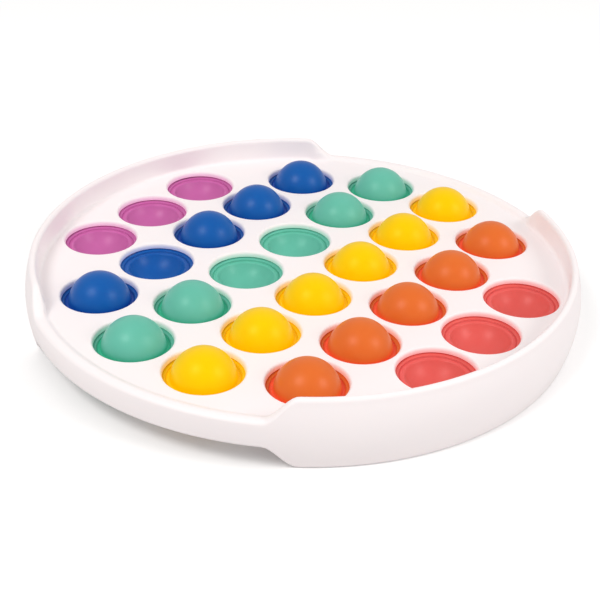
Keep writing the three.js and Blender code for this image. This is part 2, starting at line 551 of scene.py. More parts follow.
def linear(colour: Tone) -> tuple[float, float, float, float]:
    """Turns a colour in display values of 0 to 255 into the light values that a shader takes.

    Args:
        colour: Red, green and blue.

    Returns:
        The light values, with an alpha of 1.
    """
    share = np.array(colour) / 255.0
    light = np.where(share <= 0.04045, share / 12.92, ((share + 0.055) / 1.055) ** 2.4)
    return (*light.tolist(), 1.0)


def start_material(name: str) -> tuple[bpy.types.Material, NodeSheet]:
    """Makes a material with no nodes yet.

    Args:
        name: Its name.

    Returns:
        The material and its sheet.
    """
    material = bpy.data.materials.new(name)
    material.use_nodes = True
    return material, NodeSheet(material.node_tree)


@dataclass(frozen=True)
class MouldTexture:
    """How a moulded surface varies from place to place.

    Attributes:
        drift_scale: Scale of the drift between its two tones.
        drift: How far it drifts towards the second.
        grain_scale: Scale of the fine grain.
        wave_scale: Scale of the slow waviness.
        wave_share: Height of the waviness, as a share of the grain's.
        gloss_spread: How far the roughness swings.
        relief: Strength of the grain's bump.
    """

    drift_scale: float
    drift: float
    grain_scale: float
    wave_scale: float
    wave_share: float
    gloss_spread: float
    relief: float

    def build(self, sheet: NodeSheet, groups: dict[str, bpy.types.NodeTree], tones: tuple[Tone, Tone],
              roughness: float) -> dict[str, bpy.types.NodeSocket]:
        """Adds the texture's nodes.

        Args:
            sheet: The material's sheet.
            groups: The shared shader groups by name.
            tones: The colour and the tone that it drifts towards.
            roughness: The mean roughness.

        Returns:
            The sockets of the colour, the roughness and the normal.
        """
        place = sheet.add("ShaderNodeTexCoord").outputs["Object"]
        colour = sheet.add(
            "ShaderNodeGroup",
            {
                "Vector": place,
                "Tone": linear(tones[0]),
                "Second Tone": linear(tones[1]),
                "Scale": self.drift_scale,
                "Amount": self.drift,
            },
            node_tree=groups["tone_drift"],
        )
        grain = sheet.add(
            "ShaderNodeGroup",
            {
                "Vector": place,
                "Grain Scale": self.grain_scale,
                "Wave Scale": self.wave_scale,
                "Wave Share": self.wave_share,
                "Roughness": roughness,
                "Roughness Spread": self.gloss_spread,
            },
            node_tree=groups["mould_grain"],
        )
        height = {"Height": grain.outputs["Height"], "Strength": self.relief, "Distance": GRAIN_DEPTH}
        bump = sheet.add("ShaderNodeBump", height)
        return {
            "Colour": colour.outputs["Colour"],
            "Roughness": grain.outputs["Roughness"],
            "Normal": bump.outputs["Normal"],
        }


PLASTIC_TEXTURE = MouldTexture(
    drift_scale=26.0, drift=0.9, grain_scale=3200.0, wave_scale=45.0, wave_share=0.6, gloss_spread=0.10,
    relief=0.12,
)
SILICONE_TEXTURE = MouldTexture(
    drift_scale=95.0, drift=0.8, grain_scale=5200.0, wave_scale=150.0, wave_share=0.4, gloss_spread=0.12,
    relief=0.10,
)


@dataclass(frozen=True)
class MouldedPlastic:
    """Satin injection-moulded plastic.

    Attributes:
        name: The material's name.
        tone: Its colour.
        second_tone: The tone that it drifts towards.
        roughness: Its mean roughness.
        painted_bounce: How strongly the windows' walls take on painted bounce light in the colour of the
            silicone.
        painted_glow: Painted light given off as emission on those walls, standing in for light that reaches
            them through the silicone and the plastic.
        texture: How its surface varies.
    """

    name: str
    tone: Tone
    second_tone: Tone
    roughness: float = 0.48
    painted_bounce: float = 0.75
    painted_glow: float = 0.2
    texture: MouldTexture = PLASTIC_TEXTURE

    def build(self, groups: dict[str, bpy.types.NodeTree]) -> bpy.types.Material:
        """Makes the material.

        Args:
            groups: The shared shader groups by name.

        Returns:
            The material.
        """
        material, sheet = start_material(self.name)
        skin = self.texture.build(sheet, groups, (self.tone, self.second_tone), self.roughness)
        # Painted bounce light: the silicone's colour is mixed into the walls' base colour and given off as
        # emission.
        painted_bounce = sheet.add("ShaderNodeAttribute", attribute_name=PAINTED_BOUNCE)
        share = sheet.maths("MULTIPLY", painted_bounce.outputs["Alpha"], self.painted_bounce)
        with_painted_bounce = sheet.mix(share, skin["Colour"], painted_bounce.outputs["Color"])
        lit = sheet.mix(painted_bounce.outputs["Alpha"], BLACK, painted_bounce.outputs["Color"])
        sheet.shade({
            "Base Color": with_painted_bounce,
            "Roughness": skin["Roughness"],
            "Normal": skin["Normal"],
            "IOR": 1.49,
            "Specular IOR Level": 0.4,
            "Subsurface Weight": 0.10,
            "Subsurface Radius": (1.0, 0.85, 0.8),
            "Subsurface Scale": 1.2 * MM,
            "Emission Color": lit,
            "Emission Strength": self.painted_glow,
        })
        return material


@dataclass(frozen=True)
class SatinSilicone:
    """Soft silicone with a satin skin, which lets a little light through.

    Attributes:
        name: The material's name.
        tone: Its colour in open light.
        second_tone: The tone that it drifts towards.
        painted_shade_tone: The painted shade colour that it is turned to down in a groove.
        painted_bounce_tone: The colour of the painted bounce light that it throws on to white plastic.
        roughness: Its mean roughness.
        gloss_tint: How far the tint of its gloss goes from white to its own colour.
        painted_shade_amount: How far its colour goes towards the painted shade colour in a groove.
        painted_glow: Painted light given off as emission there, standing in for light that comes through
            it.
        texture: How its surface varies.
    """

    name: str
    tone: Tone
    second_tone: Tone
    painted_shade_tone: Tone
    painted_bounce_tone: Tone
    roughness: float = 0.36
    gloss_tint: float = 0.5
    painted_shade_amount: float = 0.85
    painted_glow: float = 0.20
    texture: MouldTexture = SILICONE_TEXTURE

    def build(self, groups: dict[str, bpy.types.NodeTree]) -> bpy.types.Material:
        """Makes the material.

        Args:
            groups: The shared shader groups by name.

        Returns:
            The material.
        """
        material, sheet = start_material(self.name)
        skin = self.texture.build(sheet, groups, (self.tone, self.second_tone), self.roughness)
        # Painted shade in grooves, and painted light given off as emission there, from the hollow mask.
        deep = sheet.add(
            "ShaderNodeGroup",
            {"Colour": skin["Colour"], "Painted Shade Colour": linear(self.painted_shade_tone), "Amount": self.painted_shade_amount},
            node_tree=groups["hollow_painted_shade_and_light"],
        )
        sheet.shade({
            "Base Color": deep.outputs["Colour"],
            "Roughness": skin["Roughness"],
            "Normal": skin["Normal"],
            "IOR": 1.42,
            "Specular Tint": self._gloss_tone(),
            "Subsurface Weight": 0.15,
            "Subsurface Radius": (1.0, 0.8, 0.8),
            "Subsurface Scale": 1.0 * MM,
            "Sheen Weight": 0.06,
            "Sheen Roughness": 0.35,
            "Sheen Tint": self._gloss_tone(),
            "Emission Color": deep.outputs["Painted Glow"],
            "Emission Strength": self.painted_glow,
        })
        return material

    def _gloss_tone(self) -> tuple[float, float, float, float]:
        """The tint of its gloss as light values, between white and its own colour."""
        return tuple(1.0 + (value - 1.0) * self.gloss_tint for value in linear(self.tone))


TRAY_WHITE = MouldedPlastic("tray_white", (250, 242, 242), (247, 238, 239))

SILICONES = {
    RowColour.PURPLE: SatinSilicone(
        "silicone_purple", (199, 107, 168), (192, 98, 162), (186, 56, 142), (244, 196, 226)
    ),
    RowColour.BLUE: SatinSilicone(
        "silicone_blue", (8, 92, 171), (4, 83, 163), (8, 56, 140), (186, 190, 228)
    ),
    RowColour.TEAL: SatinSilicone(
        "silicone_teal", (107, 190, 169), (95, 182, 160), (34, 162, 124), (186, 226, 212)
    ),
    RowColour.YELLOW: SatinSilicone(
        "silicone_yellow", (252, 206, 0), (250, 200, 0), (244, 186, 0), (252, 226, 170), gloss_tint=0.85
    ),
    RowColour.ORANGE: SatinSilicone(
        "silicone_orange", (226, 113, 43), (223, 104, 38), (228, 78, 50), (250, 206, 186)
    ),
    RowColour.RED: SatinSilicone(
        "silicone_red", (226, 101, 93), (222, 92, 87), (216, 64, 68), (250, 192, 192)
    ),
}


class Paintbox:
    """Builds each finish once and hands out its material."""

    def __init__(self) -> None:
        """Makes the shared groups and every material."""
        maker = GroupMaker()
        groups = {
            "mould_grain": maker.mould_grain(),
            "tone_drift": maker.tone_drift(),
            "hollow_painted_shade_and_light": maker.hollow_painted_shade_and_light(),
        }
        self.white = TRAY_WHITE.build(groups)
        self.silicone = {row: finish.build(groups) for row, finish in SILICONES.items()}

    @staticmethod
    def dress(piece: bpy.types.Object, material: bpy.types.Material) -> None:
        """Gives a piece its material."""
        piece.data.materials.clear()
        piece.data.materials.append(material)


# --------------------------------------------------------------------------------------------------
# The windowed decks
# --------------------------------------------------------------------------------------------------


def mesh_points(piece: bpy.types.Object, middle: float) -> np.ndarray:
    """The points of a piece's mesh.

    Args:
        piece: The piece.
        middle: Height of the middle plane above the table.

    Returns:
        Points in millimetres, with heights from the middle plane.
    """
    flat = np.empty(len(piece.data.vertices) * 3, np.float32)
    piece.data.vertices.foreach_get("co", flat)
    return flat.reshape(-1, 3) / MM - [0.0, 0.0, middle]


def mark_painted_bounce(piece: bpy.types.Object, sizes: BoardSizes, places: list[Place]) -> None:
    """Writes painted bounce light: the colour that each bubble throws on to the wall of its window, none at
    the deck's outer face and most at its inner face, by the smoothstep of the depth.

    Args:
        piece: A white piece with windows.
        sizes: The board's sizes.
        places: The bubbles.
    """
    points = mesh_points(piece, sizes.middle)
    centres = np.array([place.centre for place in places])
    apart = np.linalg.norm(points[:, None, :2] - centres[None], axis=2)
    nearest = apart.argmin(axis=1)
    tones = np.array([linear(SILICONES[place.row].painted_bounce_tone) for place in places])
    painted_bounce = tones[nearest]
    depth = (sizes.deck_outer - np.abs(points[:, 2])) / (sizes.deck_outer - sizes.deck_inner)
    wall_reach = 1.0
    on_wall = apart.min(axis=1) < sizes.window + wall_reach
    painted_bounce[:, 3] = np.where(on_wall, smoothstep(depth), 0.0)
    attribute = piece.data.attributes.new(PAINTED_BOUNCE, "FLOAT_COLOR", "POINT")
    attribute.data.foreach_set("color", painted_bounce.astype(np.float32).ravel())


@dataclass(frozen=True)
class WindowEdge:
    """The edge of the round windows in a deck.

    Attributes:
        radius: Radius of the window's wall.
        outer_round: How far the wall opens out to the deck's outer face.
        outer_drop: Height over which it does.
        inner_round: Rounding where it meets the inner face.
        margin: Flat ring round the rounding, which keeps the deck's shading flat.
        sides: Steps round a window.
    """

    radius: float
    outer_round: float = 0.88
    outer_drop: float = 1.3
    inner_round: float = 0.15
    margin: float = 0.12
    sides: int = 80

    def profile(self, inner: float, outer: float) -> np.ndarray:
        """The window's section: flat ring, quarter round, wall, quarter round, flat ring.

        Args:
            inner: Height of the deck's inner face.
            outer: Height of its outer face.

        Returns:
            Radius and height points from the outer face to the inner one.
        """
        side = math.copysign(1.0, outer - inner)
        big, drop, small = self.outer_round, self.outer_drop, self.inner_round
        top = arc((self.radius + big, outer - side * drop), (big, side * drop), (90.0, 180.0), 8)
        low = arc((self.radius + small, inner + side * small), (small, side * small), (180.0, 270.0), 3)
        return chain(
            [[self.radius + big + self.margin, outer]],
            top,
            low,
            [[self.radius + small + self.margin, inner]],
        )

    def deck(self, outline: np.ndarray, places: list[Place], inner: float, outer: float) -> list[Block]:
        """A deck's two flat faces, and the turned edge of every window between them.

        Args:
            outline: Points round the deck.
            places: The bubbles behind the windows.
            inner: Height of the deck's inner face.
            outer: Height of its outer face.

        Returns:
            The outer face, the inner face and the windows' edges.
        """
        faces = []
        for rounding, height in ((self.outer_round, outer), (self.inner_round, inner)):
            edge = self.radius + rounding + self.margin
            holes = [ring(place.centre, edge, self.sides) for place in places]
            faces.append(flat_face(outline, holes, height))
        profile = self.profile(inner, outer)
        return [*faces, *(gridded(turned(profile, place.centre, self.sides)) for place in places)]


@dataclass
class Tray:
    """The white tray: the upper deck and the rim with its two grip lobes, in one moulding.

    Attributes:
        sizes: The board's sizes.
        places: The bubbles.
        stations: Steps round the rim.
        deck_edge: Radius where the flat deck ends and the rim's hollow begins.
        fillet: Height of the hollow at the foot of a lobe's wall.
        short_turn: Degrees that the crest's inner side stops short by between the lobes.
        least_wall: Straight wall above the hollow where it is shortest.
        sunk: How far the pegs reach into the deck, and the size of the hollow at its edge.
        peg_radius: Radius of the pegs under the deck.
        peg_end: Height of the pegs' ends.
    """

    sizes: BoardSizes
    places: list[Place]
    stations: int = 480
    deck_edge: float = 93.7
    fillet: float = 1.7
    short_turn: float = 52.0
    least_wall: float = 0.05
    sunk: float = 0.5
    peg_radius: float = 2.2
    peg_end: float = -1.7

    def fall(self) -> np.ndarray:
        """How far the rim has fallen from its lobes at each station: the smoothstep of the angle
        from the X axis past the lobe's end, over the ramp.

        Returns:
            Shares from 0 on a lobe to 1 between the lobes.
        """
        angles = np.linspace(0.0, 2.0 * np.pi, self.stations, endpoint=False)
        from_axis = np.degrees(np.arccos(np.clip(np.abs(np.cos(angles)), 0.0, 1.0)))
        return smoothstep((from_axis - self.sizes.lobe_angle) / self.sizes.lobe_ramp)

    def section(self) -> np.ndarray:
        """The rim's section at each station. From the deck it goes up a hollow, which is a cubic
        curve, and a straight wall, over a crest that is half an ellipse, and down the barrel side,
        whose radius falls with the square of the height. Then it goes round the lower edge and up the
        inside to the deck's inner face.

        Returns:
            Section points by stations, of radius and height.
        """
        s = self.sizes
        fall = self.fall()[None, :]
        half = s.lobe_height + (s.low_height - s.lobe_height) * fall
        shoulder = half - s.edge_round
        half_wall = (s.rim_radius - s.barrel * shoulder**2 - s.rim_inner) / 2
        crest = s.rim_inner + half_wall

        last = np.radians(180.0 - self.short_turn * fall)
        top_turn = last * np.linspace(1.0, 0.0, 13)[:, None]
        top = self._pair(crest + half_wall * np.cos(top_turn), shoulder + s.edge_round * np.sin(top_turn))

        lean = self._pair(-half_wall * np.sin(last), s.edge_round * np.cos(last))
        lean = lean / np.linalg.norm(lean, axis=-1, keepdims=True)
        upright = (shoulder - s.deck_outer - self.fillet) * (1.0 - fall) + self.least_wall
        wall_foot = top[:1] + lean * upright[..., None]
        level = np.full_like(fall, s.deck_outer)
        hollow = self._curve(
            self._pair(np.full_like(fall, self.deck_edge + 0.1), level),
            self._pair(s.rim_inner - 0.35 + 0.2 * fall, level),
            wall_foot + lean * 0.9,
            wall_foot,
            10,
        )

        side_z = shoulder * np.linspace(1.0, -1.0, 15)[1:-1, None]
        side = self._pair(s.rim_radius - s.barrel * side_z**2, side_z)
        low_turn = np.radians(np.linspace(0.0, -180.0, 13))[:, None]
        low = self._pair(crest + half_wall * np.cos(low_turn), -shoulder + s.edge_round * np.sin(low_turn))
        return np.concatenate([
            self._level(self.deck_edge, s.deck_outer),
            hollow,
            top,
            side,
            low,
            self._level(s.rim_inner, s.deck_inner - self.sunk),
            self._level(s.rim_inner - 0.3 * self.sunk, s.deck_inner - 0.3 * self.sunk),
            self._level(s.rim_inner - self.sunk, s.deck_inner),
            self._level(self.deck_edge, s.deck_inner),
        ])

    @staticmethod
    def _pair(radius: np.ndarray, height: np.ndarray) -> np.ndarray:
        """Radii and heights in one array with a last axis of two."""
        return np.stack(np.broadcast_arrays(radius, height), axis=-1)

    def _level(self, radius: float, height: float) -> np.ndarray:
        """One section point, once for each station."""
        return np.tile(np.array([radius, height]), (1, self.stations, 1))

    @staticmethod
    def _curve(p0: np.ndarray, p1: np.ndarray, p2: np.ndarray, p3: np.ndarray, steps: int) -> np.ndarray:
        """A cubic curve between two end points, drawn towards two others: each point's share is a
        product of powers of t and of 1 less t.

        Args:
            p0: First end.
            p1: The point that it leaves towards.
            p2: The point that it arrives from.
            p3: Last end.
            steps: Number of steps.

        Returns:
            steps + 1 points at each station.
        """
        t = np.linspace(0.0, 1.0, steps + 1)[:, None, None]
        u = 1.0 - t
        return u**3 * p0 + 3 * u * u * t * p1 + 3 * u * t * t * p2 + t**3 * p3

    def build(self) -> bpy.types.Object:
        """Makes the tray's mesh.

        Returns:
            The tray.
        """
        s = self.sizes
        angles = np.linspace(0.0, 2.0 * np.pi, self.stations, endpoint=False)
        section = self.section()
        around = np.stack([np.cos(angles), np.sin(angles)], axis=1)
        grid = np.concatenate([section[..., :1] * around[None], section[..., 1:]], axis=-1)
        deck = WindowEdge(s.window).deck(self.deck_edge * around, self.places, s.deck_inner, s.deck_outer)
        piece = make_piece("tray", [gridded(grid), *deck, *self._pegs()], s.middle)
        mark_painted_bounce(piece, s, self.places)
        return piece

    def _pegs(self) -> list[Block]:
        """The pegs under the deck, each a turned rod with a rounded end.

        Returns:
            One surface for each peg.
        """
        tip = 0.4
        root = self.sizes.deck_inner + self.sunk
        profile = chain(
            [[0.0, self.peg_end]],
            arc((self.peg_radius - tip, self.peg_end + tip), (tip, tip), (-90.0, 0.0), 4),
            [[self.peg_radius, root], [0.0, root]],
        )
        return [gridded(turned(profile, centre, 24)) for centre in peg_places(self.places)]


def peg_places(places: list[Place]) -> list[np.ndarray]:
    """Where the pegs stand: on the middle line between the two middle rows, and midway between the
    outer rows and their neighbours, where four windows leave room.

    Args:
        places: The bubbles.

    Returns:
        The pegs' places in the board's plane.
    """
    row_x = {place.row: place.x for place in places}
    middle_row = [place.y for place in places if place.row is RowColour.TEAL]
    pitch = middle_row[0] - middle_row[1]
    side_x = (row_x[RowColour.ORANGE] + row_x[RowColour.RED]) / 2
    centre_line = [np.array([0.0, step * pitch]) for step in (-2.0, 0.0, 2.0)]
    sides = [
        np.array([sign * side_x, step * pitch]) for sign in (-1.0, 1.0) for step in (-1.5, -0.5, 0.5, 1.5)
    ]
    return centre_line + sides


@dataclass
class BackPlate:
    """The lower deck, which clamps the sheet against the tray.

    Attributes:
        sizes: The board's sizes.
        places: The bubbles.
        stations: Steps round its edge.
        edge_round: Rounding of its outer edge.
        boss_radius: Outside of the bosses that take the pegs.
        bore_radius: Inside of the bosses.
        boss_top: Height of the bosses' mouths.
    """

    sizes: BoardSizes
    places: list[Place]
    stations: int = 360
    edge_round: float = 0.5
    boss_radius: float = 3.8
    bore_radius: float = 2.5
    boss_top: float = 1.0

    def build(self) -> bpy.types.Object:
        """Makes the back plate's mesh.

        Returns:
            The back plate.
        """
        s = self.sizes
        outer, inner = -s.deck_outer, -s.deck_inner
        rounded = self.edge_round
        flat = s.back_radius - rounded - 0.4
        edge_profile = chain(
            [[flat, inner]],
            arc((s.back_radius - rounded, inner - rounded), (rounded, rounded), (90.0, 0.0), 6),
            arc((s.back_radius - rounded, outer + rounded), (rounded, rounded), (0.0, -90.0), 6),
            [[flat, outer]],
        )
        origin = np.zeros(2)
        edge = gridded(turned(edge_profile, origin, self.stations))
        deck = WindowEdge(s.window).deck(ring(origin, flat, self.stations), self.places, inner, outer)
        piece = make_piece("back_deck", [edge, *deck, *self._bosses()], s.middle)
        mark_painted_bounce(piece, s, self.places)
        return piece

    def _bosses(self) -> list[Block]:
        """The bosses, each a turned tube with a floor.

        Returns:
            One surface for each boss.
        """
        floor = -self.sizes.deck_inner
        root = floor - 0.5
        profile = np.array([
            [0.0, root],
            [self.boss_radius, root],
            [self.boss_radius, self.boss_top],
            [self.bore_radius, self.boss_top],
            [self.bore_radius, floor + 0.05],
            [0.0, floor + 0.05],
        ])
        return [gridded(turned(profile, centre, 24)) for centre in peg_places(self.places)]


# --------------------------------------------------------------------------------------------------
# The silicone
# --------------------------------------------------------------------------------------------------


@dataclass(frozen=True)
class BubbleShape:
    """The section of a bubble and of the collar that it hangs in.

    Attributes:
        radius: Outside of a raised dome at the middle plane.
        height: Top of its outside.
        depth: How far the outside of a pushed bowl hangs below the middle plane.
        ball: Radius of the ball that the outside of a pushed bowl is part of.
        skin: Thickness of the skin.
        root: Half the thickness of the root that ties the skin to its collar.
        lip: Rounding of the mouth.
        crest: Height of the rolled edge round a pushed bowl.
        tie: Radius to which the root reaches into the collar.
        collar: Radius where the flat sheet starts to turn down to the root.
        sheet_top: Face of the flat sheet.
        sheet_round: Rounding where it turns down.
        under: How far under a bowl its skin is held by the crown.
        sides: Steps round.
    """

    radius: float = 10.95
    height: float = 11.25
    depth: float = 6.65
    ball: float = 12.65
    skin: float = 1.1
    root: float = 0.8
    lip: float = 0.7
    crest: float = 0.92
    tie: float = 12.15
    collar: float = 12.55
    sheet_top: float = 1.2
    sheet_round: float = 0.3
    under: float = 0.2
    sides: int = 80

    def section(self, rest: Rest) -> np.ndarray:
        """The section of a bubble.

        Args:
            rest: Which way it is turned.

        Returns:
            Radius and height points from the middle of the outside to the middle of the inside.
        """
        profile = self._dome() if rest is Rest.RAISED else self._bowl() * [1.0, -1.0]
        profile[0, 0] = profile[-1, 0] = 0.0
        return profile

    def hold(self, rest: Rest) -> float:
        """Height past which a skin moves wholly with its crown: within a dome's skin, or under a bowl."""
        return self.height - self.skin / 2 if rest is Rest.RAISED else -self.depth - self.under

    def _dome(self) -> np.ndarray:
        """A raised bubble. Its outside is a quarter of an ellipse, which a small hollow joins to the
        root, and its inside is the ellipse one skin smaller.

        Returns:
            Radius and height points.
        """
        foot = 6.4
        outside = arc((0.0, 0.0), (self.radius, self.height), (90.0, foot), 40)
        heel_r, heel_z = outside[-1]
        drop = heel_z - self.root
        hollow = arc((heel_r + drop, heel_z), (drop, drop), (180.0, 270.0), 5)
        inner_r = self.radius - self.skin
        mouth = arc((inner_r + self.lip, 0.0), (self.lip, self.root), (270.0, 180.0), 6)
        inside = arc((0.0, 0.0), (inner_r, self.height - self.skin), (0.0, 90.0), 40)
        return chain(outside, hollow, [[self.tie, self.root], [self.tie, -self.root]], mouth, inside)

    def _bowl(self) -> np.ndarray:
        """A pushed bubble, upside down. Both its sides are parts of balls about one centre, and its
        mouth is rolled: an arc that touches the inner ball and is level at its crest.

        Returns:
            Radius and height points.
        """
        centre_z = self.depth - self.ball
        clear = 0.3
        foot = math.degrees(math.asin((self.root + clear - centre_z) / self.ball))
        outside = arc((0.0, centre_z), (self.ball, self.ball), (90.0, foot), 32)
        heel_r = outside[-1, 0]
        inner = self.ball - self.skin
        roll_z = self.lip - self.crest
        roll_r = math.sqrt((inner + self.lip) ** 2 - (roll_z - centre_z) ** 2)
        meet = math.degrees(math.atan2(roll_z - centre_z, roll_r))
        return chain(
            outside,
            [[heel_r + clear, self.root + clear / 3], [heel_r + 3 * clear, self.root]],
            [[self.tie, self.root], [self.tie, -self.root], [self.tie - self.lip, -self.root]],
            arc((roll_r, roll_z), (self.lip, self.lip), (270.0, 180.0 + meet), 7),
            arc((0.0, centre_z), (inner, inner), (meet, 90.0), 36),
        )

    def collar_section(self) -> np.ndarray:
        """The collar: from the flat sheet over a rounded edge, down to the root through a small
        hollow, and the same turned over on the other face.

        Returns:
            Radius and height points.
        """
        wall = self.collar - self.sheet_round
        turn_z = self.sheet_top - self.sheet_round
        sink = turn_z - self.root - 0.01
        half = chain(
            arc((self.collar, turn_z), (self.sheet_round, self.sheet_round), (90.0, 180.0), 6),
            arc((wall - sink, turn_z), (sink, sink), (0.0, -90.0), 5),
            [[wall - sink - 0.05, self.root - 0.1]],
        )
        return chain(half, (half * [1.0, -1.0])[::-1])


def mark_hollow(piece: bpy.types.Object, middle: float, rule: Callable[[np.ndarray], np.ndarray]) -> None:
    """Writes how shut in each point of a piece is, for the hollow_painted_shade_and_light group, which
    paints shade and emission light into grooves from it.

    Args:
        piece: The piece.
        middle: Height of the middle plane above the table.
        rule: Function from points in millimetres, with heights from the middle plane, to shares.
    """
    attribute = piece.data.attributes.new(HOLLOW, "FLOAT", "POINT")
    attribute.data.foreach_set("value", rule(mesh_points(piece, middle)).astype(np.float32))


@dataclass
class Bubble:
    """One bubble: a thin dome that turns inside out between the board and its crown.

    Attributes:
        place: Where it stands.
        sizes: The board's sizes.
        shape: Its section.
    """

    place: Place
    sizes: BoardSizes
    shape: BubbleShape = field(default_factory=BubbleShape)

    def build(self) -> bpy.types.Object:
        """Makes the dome's mesh, with how shut in each point is as an attribute.

        Returns:
            The bubble.
        """
        grid = turned(self.shape.section(self.place.rest), self.place.centre, self.shape.sides)
        piece = make_piece(f"{self.place.node}_skin", [gridded(grid)], self.sizes.middle)
        mark_hollow(piece, self.sizes.middle, self._hollow)
        return piece

    def _hollow(self, points: np.ndarray) -> np.ndarray:
        """How shut in points are, which sets the painted shade and painted emission light: full at the foot
        of a dome and less round a bowl. The share grows over the last millimetre of the radius and fades
        with the height, both by the smoothstep.

        Args:
            points: Points in millimetres, with heights from the middle plane.

        Returns:
            Shares from 0 to 1.
        """
        fade_start, fade_height = 0.6, 3.0
        radius = np.linalg.norm(points[:, :2] - self.place.centre, axis=1)
        near_foot = smoothstep(radius - self.shape.radius + 1.0)
        share = 1.0 if self.place.rest is Rest.RAISED else 0.3
        return share * near_foot * (1.0 - smoothstep((np.abs(points[:, 2]) - fade_start) / fade_height))

    def attach(self, paints: Paintbox) -> bpy.types.Object:
        """Builds and dresses the dome, fixes its place in its mesh, and hides the imported crown node that
        it stands for.

        Args:
            paints: The finishes.

        Returns:
            The bubble.
        """
        piece = self.build()
        paints.dress(piece, paints.silicone[self.place.row])
        still = self.shape.root if self.place.rest is Rest.RAISED else 0.0
        start, end = (
            Vector((self.place.x, self.place.y, self.sizes.middle + height)) * MM
            for height in (still, self.shape.hold(self.place.rest))
        )
        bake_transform(piece)
        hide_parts(self.place.node)
        return piece


@dataclass
class Strip:
    """One colour of the sheet, with a rounded collar round each of its bubbles.

    Attributes:
        row: The strip's colour.
        places: The bubbles that hang in it.
        sizes: The board's sizes.
        shape: The section of a bubble and its collar.
        edge_sides: Steps along the round outer edge, for a whole circle.
    """

    row: RowColour
    places: list[Place]
    sizes: BoardSizes
    shape: BubbleShape = field(default_factory=BubbleShape)
    edge_sides: int = 240

    def outline(self) -> np.ndarray:
        """The strip from above: the part of a disc between two lines across it, where the packed
        strip begins and ends.

        Returns:
            Points round the strip.
        """
        low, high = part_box(f"{self.row.value}_strip")
        left, right, reach = low.x / MM, high.x / MM, high.y / MM
        radius = max(abs(left), abs(right)) if self._is_end() else self._disc_radius(left, right, reach)
        arcs = []
        for sign in (1.0, -1.0):
            first = math.acos(np.clip(right / radius, -1.0, 1.0))
            last = math.acos(np.clip(left / radius, -1.0, 1.0))
            steps = max(6, round(self.edge_sides * (last - first) / (2 * np.pi)))
            angles = np.linspace(first, last, steps + 1)[:: int(sign)]
            arcs.append(radius * np.stack([np.cos(angles), sign * np.sin(angles)], axis=1))
        outline = np.concatenate(arcs)
        apart = np.linalg.norm(outline - np.roll(outline, 1, axis=0), axis=1) > 1e-3
        return outline[apart]

    def _is_end(self) -> bool:
        """Whether the strip is the first or the last one."""
        return self.row in (RowColour.PURPLE, RowColour.RED)

    @staticmethod
    def _disc_radius(left: float, right: float, reach: float) -> float:
        """Radius of the disc that a strip between two lines is cut from, from its farthest corner."""
        return math.hypot(min(abs(left), abs(right)), reach)

    def build(self) -> bpy.types.Object:
        """Makes the strip's mesh: two flat faces, the edge between them, and the collars.

        Returns:
            The strip.
        """
        top = self.shape.sheet_top
        outline = self.outline()
        holes = [ring(place.centre, self.shape.collar, self.shape.sides) for place in self.places]
        edge = np.stack([np.insert(outline, 2, height, axis=1) for height in (top, -top)])
        collar = self.shape.collar_section()
        collars = [gridded(turned(collar, place.centre, self.shape.sides)) for place in self.places]
        blocks = [gridded(edge), flat_face(outline, holes, top), flat_face(outline, holes, -top), *collars]
        piece = make_piece(f"{self.row.value}_sheet", blocks, self.sizes.middle)
        mark_hollow(piece, self.sizes.middle, self._hollow)
        return piece

    def _hollow(self, points: np.ndarray) -> np.ndarray:
        """How shut in points are, which sets the painted shade and painted emission light: more the deeper
        they lie inside a collar.
        """
        full_depth = 0.9
        return smoothstep((self.shape.sheet_top - np.abs(points[:, 2])) / full_depth)

    def attach(self, paints: Paintbox) -> bpy.types.Object:
        """Builds and dresses the strip and fixes it to the board.

        Args:
            paints: The finishes.

        Returns:
            The strip.
        """
        piece = self.build()
        paints.dress(piece, paints.silicone[self.row])
        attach(piece, BOARD_BODY)
        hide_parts(f"{self.row.value}_strip")
        return piece


# --------------------------------------------------------------------------------------------------
# The whole board and the studio
# --------------------------------------------------------------------------------------------------


@dataclass
class Board:
    """The board, put together from its sub-assemblies.

    Attributes:
        sizes: The board's sizes.
        places: The bubbles.
        paints: The finishes.
    """

    sizes: BoardSizes
    places: list[Place]
    paints: Paintbox

    def build(self) -> list[bpy.types.Object]:
        """Builds every piece in the order that the board is put together.

        Returns:
            The pieces.
        """
        strips = [
            Strip(row, [place for place in self.places if place.row is row], self.sizes).attach(self.paints)
            for row in RowColour
        ]
        bubbles = [Bubble(place, self.sizes).attach(self.paints) for place in self.places]
        tray = self._plastic(Tray(self.sizes, self.places).build(), "frame")
        back = self._plastic(BackPlate(self.sizes, self.places).build(), "back_plate")
        return [back, *strips, *bubbles, tray]

    def _plastic(self, piece: bpy.types.Object, node: str) -> bpy.types.Object:
        """Dresses a white piece and fixes it to the board.

        Args:
            piece: The piece.
            node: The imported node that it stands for.

        Returns:
            The piece.
        """
        self.paints.dress(piece, self.paints.white)
        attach(piece, BOARD_BODY)
        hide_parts(node)
        return piece


